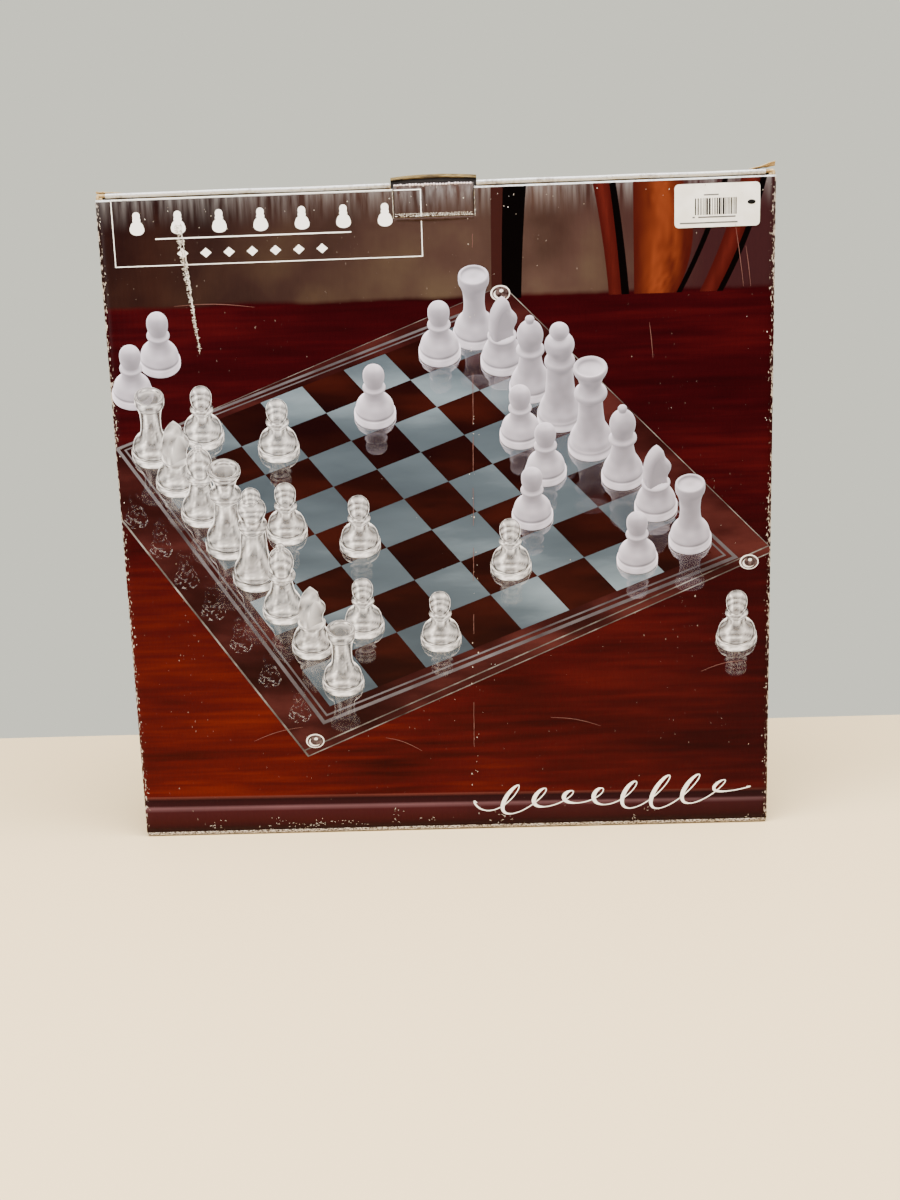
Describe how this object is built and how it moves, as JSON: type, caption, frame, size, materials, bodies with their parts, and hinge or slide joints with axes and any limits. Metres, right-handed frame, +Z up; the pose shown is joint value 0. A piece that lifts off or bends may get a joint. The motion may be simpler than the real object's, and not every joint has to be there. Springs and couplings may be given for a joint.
{
  "type": "boxed glass chess set",
  "caption": "Boxed glass chess set: a printed corrugated carton with a hinged, tucked lid over a glass board and glass chess pieces in a foam tray.",
  "frame": {"origin": "on the table under the middle of the closed carton, which stands on its hinge edge", "axes": "+Z up, -Y is the printed lid's face, +X to the right as the lid is looked at"},
  "size_m": [0.381, 0.062, 0.381],
  "materials": {
    "printed_carton": "glossy litho print over E-flute board",
    "kraft_carton": "raw kraft liner",
    "label": "semi-gloss sticker",
    "foam": "moulded bead foam",
    "board_glass": "float glass with frosted squares",
    "bumper": "clear soft polyurethane dome",
    "clear_glass": "clear pressed glass",
    "frosted_glass": "acid-frosted pressed glass"
  },
  "bodies": {
    "carton": {"back_panel": "printed_carton", "hinge_wall": "printed_carton", "left_wall_outer": "printed_carton", "left_wall_inner": "kraft_carton", "left_corner_flap_top": "kraft_carton", "left_corner_flap_bottom": "kraft_carton", "right_wall_outer": "printed_carton", "right_wall_inner": "kraft_carton", "right_corner_flap_top": "kraft_carton", "right_corner_flap_bottom": "kraft_carton", "top_wall_outer": "printed_carton", "top_wall_inner": "kraft_carton", "foam_tray": "foam"},
    "lid": {"lid_panel": "printed_carton", "barcode_label": "label"},
    "lock_tab": {"lock_tab": "printed_carton"},
    "tuck_flap": {"tuck_flap": "kraft_carton", "ear_left": "kraft_carton", "ear_right": "kraft_carton"},
    "board": {"glass_board": "board_glass", "bumper_left_bottom": "bumper", "bumper_left_top": "bumper", "bumper_right_bottom": "bumper", "bumper_right_top": "bumper"},
    "clear_rook_1": {"clear_rook_1": "clear_glass"},
    "clear_knight_1": {"clear_knight_1": "clear_glass"},
    "clear_bishop_1": {"clear_bishop_1": "clear_glass"},
    "clear_queen": {"clear_queen": "clear_glass"},
    "clear_king": {"clear_king": "clear_glass"},
    "clear_bishop_2": {"clear_bishop_2": "clear_glass"},
    "clear_knight_2": {"clear_knight_2": "clear_glass"},
    "clear_rook_2": {"clear_rook_2": "clear_glass"},
    "clear_pawn_1": {"clear_pawn_1": "clear_glass"},
    "clear_pawn_2": {"clear_pawn_2": "clear_glass"},
    "clear_pawn_3": {"clear_pawn_3": "clear_glass"},
    "clear_pawn_4": {"clear_pawn_4": "clear_glass"},
    "clear_pawn_5": {"clear_pawn_5": "clear_glass"},
    "clear_pawn_6": {"clear_pawn_6": "clear_glass"},
    "clear_pawn_7": {"clear_pawn_7": "clear_glass"},
    "clear_pawn_8": {"clear_pawn_8": "clear_glass"},
    "frosted_rook_1": {"frosted_rook_1": "frosted_glass"},
    "frosted_knight_1": {"frosted_knight_1": "frosted_glass"},
    "frosted_bishop_1": {"frosted_bishop_1": "frosted_glass"},
    "frosted_queen": {"frosted_queen": "frosted_glass"},
    "frosted_king": {"frosted_king": "frosted_glass"},
    "frosted_bishop_2": {"frosted_bishop_2": "frosted_glass"},
    "frosted_knight_2": {"frosted_knight_2": "frosted_glass"},
    "frosted_rook_2": {"frosted_rook_2": "frosted_glass"},
    "frosted_pawn_1": {"frosted_pawn_1": "frosted_glass"},
    "frosted_pawn_2": {"frosted_pawn_2": "frosted_glass"},
    "frosted_pawn_3": {"frosted_pawn_3": "frosted_glass"},
    "frosted_pawn_4": {"frosted_pawn_4": "frosted_glass"},
    "frosted_pawn_5": {"frosted_pawn_5": "frosted_glass"},
    "frosted_pawn_6": {"frosted_pawn_6": "frosted_glass"},
    "frosted_pawn_7": {"frosted_pawn_7": "frosted_glass"},
    "frosted_pawn_8": {"frosted_pawn_8": "frosted_glass"}
  },
  "joints": [
    {"name": "lid_open", "type": "hinge", "parent": "carton", "child": "lid", "pos_m": [0, -0.0294, 0.0026], "axis": [1, 0, 0], "range_deg": [0, 90]},
    {"name": "lock_tab_lift", "type": "hinge", "parent": "lid", "child": "lock_tab", "pos_m": [0, -0.031, 0.3618], "axis": [1, 0, 0], "range_deg": [0, 70]},
    {"name": "tuck_flap_fold", "type": "hinge", "parent": "lid", "child": "tuck_flap", "pos_m": [0, -0.0294, 0.3745], "axis": [1, 0, 0], "range_deg": [0, 18.01]},
    {"name": "board_tip_out", "type": "hinge", "parent": "carton", "child": "board", "pos_m": [0, -0.0246, 0.008], "axis": [1, 0, 0], "range_deg": [0, 90.01]},
    {"name": "clear_rook_1_lift", "type": "slide", "parent": "carton", "child": "clear_rook_1", "axis": [0, -1, 0], "range_m": [0, 0.045]},
    {"name": "clear_knight_1_lift", "type": "slide", "parent": "carton", "child": "clear_knight_1", "axis": [0, -1, 0], "range_m": [0, 0.045]},
    {"name": "clear_bishop_1_lift", "type": "slide", "parent": "carton", "child": "clear_bishop_1", "axis": [0, -1, 0], "range_m": [0, 0.045]},
    {"name": "clear_queen_lift", "type": "slide", "parent": "carton", "child": "clear_queen", "axis": [0, -1, 0], "range_m": [0, 0.045]},
    {"name": "clear_king_lift", "type": "slide", "parent": "carton", "child": "clear_king", "axis": [0, -1, 0], "range_m": [0, 0.045]},
    {"name": "clear_bishop_2_lift", "type": "slide", "parent": "carton", "child": "clear_bishop_2", "axis": [0, -1, 0], "range_m": [0, 0.045]},
    {"name": "clear_knight_2_lift", "type": "slide", "parent": "carton", "child": "clear_knight_2", "axis": [0, -1, 0], "range_m": [0, 0.045]},
    {"name": "clear_rook_2_lift", "type": "slide", "parent": "carton", "child": "clear_rook_2", "axis": [0, -1, 0], "range_m": [0, 0.045]},
    {"name": "clear_pawn_1_lift", "type": "slide", "parent": "carton", "child": "clear_pawn_1", "axis": [0, -1, 0], "range_m": [0, 0.045]},
    {"name": "clear_pawn_2_lift", "type": "slide", "parent": "carton", "child": "clear_pawn_2", "axis": [0, -1, 0], "range_m": [0, 0.045]},
    {"name": "clear_pawn_3_lift", "type": "slide", "parent": "carton", "child": "clear_pawn_3", "axis": [0, -1, 0], "range_m": [0, 0.045]},
    {"name": "clear_pawn_4_lift", "type": "slide", "parent": "carton", "child": "clear_pawn_4", "axis": [0, -1, 0], "range_m": [0, 0.045]},
    {"name": "clear_pawn_5_lift", "type": "slide", "parent": "carton", "child": "clear_pawn_5", "axis": [0, -1, 0], "range_m": [0, 0.045]},
    {"name": "clear_pawn_6_lift", "type": "slide", "parent": "carton", "child": "clear_pawn_6", "axis": [0, -1, 0], "range_m": [0, 0.045]},
    {"name": "clear_pawn_7_lift", "type": "slide", "parent": "carton", "child": "clear_pawn_7", "axis": [0, -1, 0], "range_m": [0, 0.045]},
    {"name": "clear_pawn_8_lift", "type": "slide", "parent": "carton", "child": "clear_pawn_8", "axis": [0, -1, 0], "range_m": [0, 0.045]},
    {"name": "frosted_rook_1_lift", "type": "slide", "parent": "carton", "child": "frosted_rook_1", "axis": [0, -1, 0], "range_m": [0, 0.045]},
    {"name": "frosted_knight_1_lift", "type": "slide", "parent": "carton", "child": "frosted_knight_1", "axis": [0, -1, 0], "range_m": [0, 0.045]},
    {"name": "frosted_bishop_1_lift", "type": "slide", "parent": "carton", "child": "frosted_bishop_1", "axis": [0, -1, 0], "range_m": [0, 0.045]},
    {"name": "frosted_queen_lift", "type": "slide", "parent": "carton", "child": "frosted_queen", "axis": [0, -1, 0], "range_m": [0, 0.045]},
    {"name": "frosted_king_lift", "type": "slide", "parent": "carton", "child": "frosted_king", "axis": [0, -1, 0], "range_m": [0, 0.045]},
    {"name": "frosted_bishop_2_lift", "type": "slide", "parent": "carton", "child": "frosted_bishop_2", "axis": [0, -1, 0], "range_m": [0, 0.045]},
    {"name": "frosted_knight_2_lift", "type": "slide", "parent": "carton", "child": "frosted_knight_2", "axis": [0, -1, 0], "range_m": [0, 0.045]},
    {"name": "frosted_rook_2_lift", "type": "slide", "parent": "carton", "child": "frosted_rook_2", "axis": [0, -1, 0], "range_m": [0, 0.045]},
    {"name": "frosted_pawn_1_lift", "type": "slide", "parent": "carton", "child": "frosted_pawn_1", "axis": [0, -1, 0], "range_m": [0, 0.045]},
    {"name": "frosted_pawn_2_lift", "type": "slide", "parent": "carton", "child": "frosted_pawn_2", "axis": [0, -1, 0], "range_m": [0, 0.045]},
    {"name": "frosted_pawn_3_lift", "type": "slide", "parent": "carton", "child": "frosted_pawn_3", "axis": [0, -1, 0], "range_m": [0, 0.045]},
    {"name": "frosted_pawn_4_lift", "type": "slide", "parent": "carton", "child": "frosted_pawn_4", "axis": [0, -1, 0], "range_m": [0, 0.045]},
    {"name": "frosted_pawn_5_lift", "type": "slide", "parent": "carton", "child": "frosted_pawn_5", "axis": [0, -1, 0], "range_m": [0, 0.045]},
    {"name": "frosted_pawn_6_lift", "type": "slide", "parent": "carton", "child": "frosted_pawn_6", "axis": [0, -1, 0], "range_m": [0, 0.045]},
    {"name": "frosted_pawn_7_lift", "type": "slide", "parent": "carton", "child": "frosted_pawn_7", "axis": [0, -1, 0], "range_m": [0, 0.045]},
    {"name": "frosted_pawn_8_lift", "type": "slide", "parent": "carton", "child": "frosted_pawn_8", "axis": [0, -1, 0], "range_m": [0, 0.045]}
  ],
  "couplings": [
    {"joint": "tuck_flap_fold", "follows": "lid_open", "ratio": 0.2},
    {"joint": "board_tip_out", "follows": "lid_open", "ratio": 1},
    {"joint": "clear_rook_1_lift", "follows": "lid_open", "m_per_rad": 0.028},
    {"joint": "clear_knight_1_lift", "follows": "lid_open", "m_per_rad": 0.028},
    {"joint": "clear_bishop_1_lift", "follows": "lid_open", "m_per_rad": 0.028},
    {"joint": "clear_queen_lift", "follows": "lid_open", "m_per_rad": 0.028},
    {"joint": "clear_king_lift", "follows": "lid_open", "m_per_rad": 0.028},
    {"joint": "clear_bishop_2_lift", "follows": "lid_open", "m_per_rad": 0.028},
    {"joint": "clear_knight_2_lift", "follows": "lid_open", "m_per_rad": 0.028},
    {"joint": "clear_rook_2_lift", "follows": "lid_open", "m_per_rad": 0.028},
    {"joint": "clear_pawn_1_lift", "follows": "lid_open", "m_per_rad": 0.028},
    {"joint": "clear_pawn_2_lift", "follows": "lid_open", "m_per_rad": 0.028},
    {"joint": "clear_pawn_3_lift", "follows": "lid_open", "m_per_rad": 0.028},
    {"joint": "clear_pawn_4_lift", "follows": "lid_open", "m_per_rad": 0.028},
    {"joint": "clear_pawn_5_lift", "follows": "lid_open", "m_per_rad": 0.028},
    {"joint": "clear_pawn_6_lift", "follows": "lid_open", "m_per_rad": 0.028},
    {"joint": "clear_pawn_7_lift", "follows": "lid_open", "m_per_rad": 0.028},
    {"joint": "clear_pawn_8_lift", "follows": "lid_open", "m_per_rad": 0.028},
    {"joint": "frosted_rook_1_lift", "follows": "lid_open", "m_per_rad": 0.028},
    {"joint": "frosted_knight_1_lift", "follows": "lid_open", "m_per_rad": 0.028},
    {"joint": "frosted_bishop_1_lift", "follows": "lid_open", "m_per_rad": 0.028},
    {"joint": "frosted_queen_lift", "follows": "lid_open", "m_per_rad": 0.028},
    {"joint": "frosted_king_lift", "follows": "lid_open", "m_per_rad": 0.028},
    {"joint": "frosted_bishop_2_lift", "follows": "lid_open", "m_per_rad": 0.028},
    {"joint": "frosted_knight_2_lift", "follows": "lid_open", "m_per_rad": 0.028},
    {"joint": "frosted_rook_2_lift", "follows": "lid_open", "m_per_rad": 0.028},
    {"joint": "frosted_pawn_1_lift", "follows": "lid_open", "m_per_rad": 0.028},
    {"joint": "frosted_pawn_2_lift", "follows": "lid_open", "m_per_rad": 0.028},
    {"joint": "frosted_pawn_3_lift", "follows": "lid_open", "m_per_rad": 0.028},
    {"joint": "frosted_pawn_4_lift", "follows": "lid_open", "m_per_rad": 0.028},
    {"joint": "frosted_pawn_5_lift", "follows": "lid_open", "m_per_rad": 0.028},
    {"joint": "frosted_pawn_6_lift", "follows": "lid_open", "m_per_rad": 0.028},
    {"joint": "frosted_pawn_7_lift", "follows": "lid_open", "m_per_rad": 0.028},
    {"joint": "frosted_pawn_8_lift", "follows": "lid_open", "m_per_rad": 0.028}
  ]
}
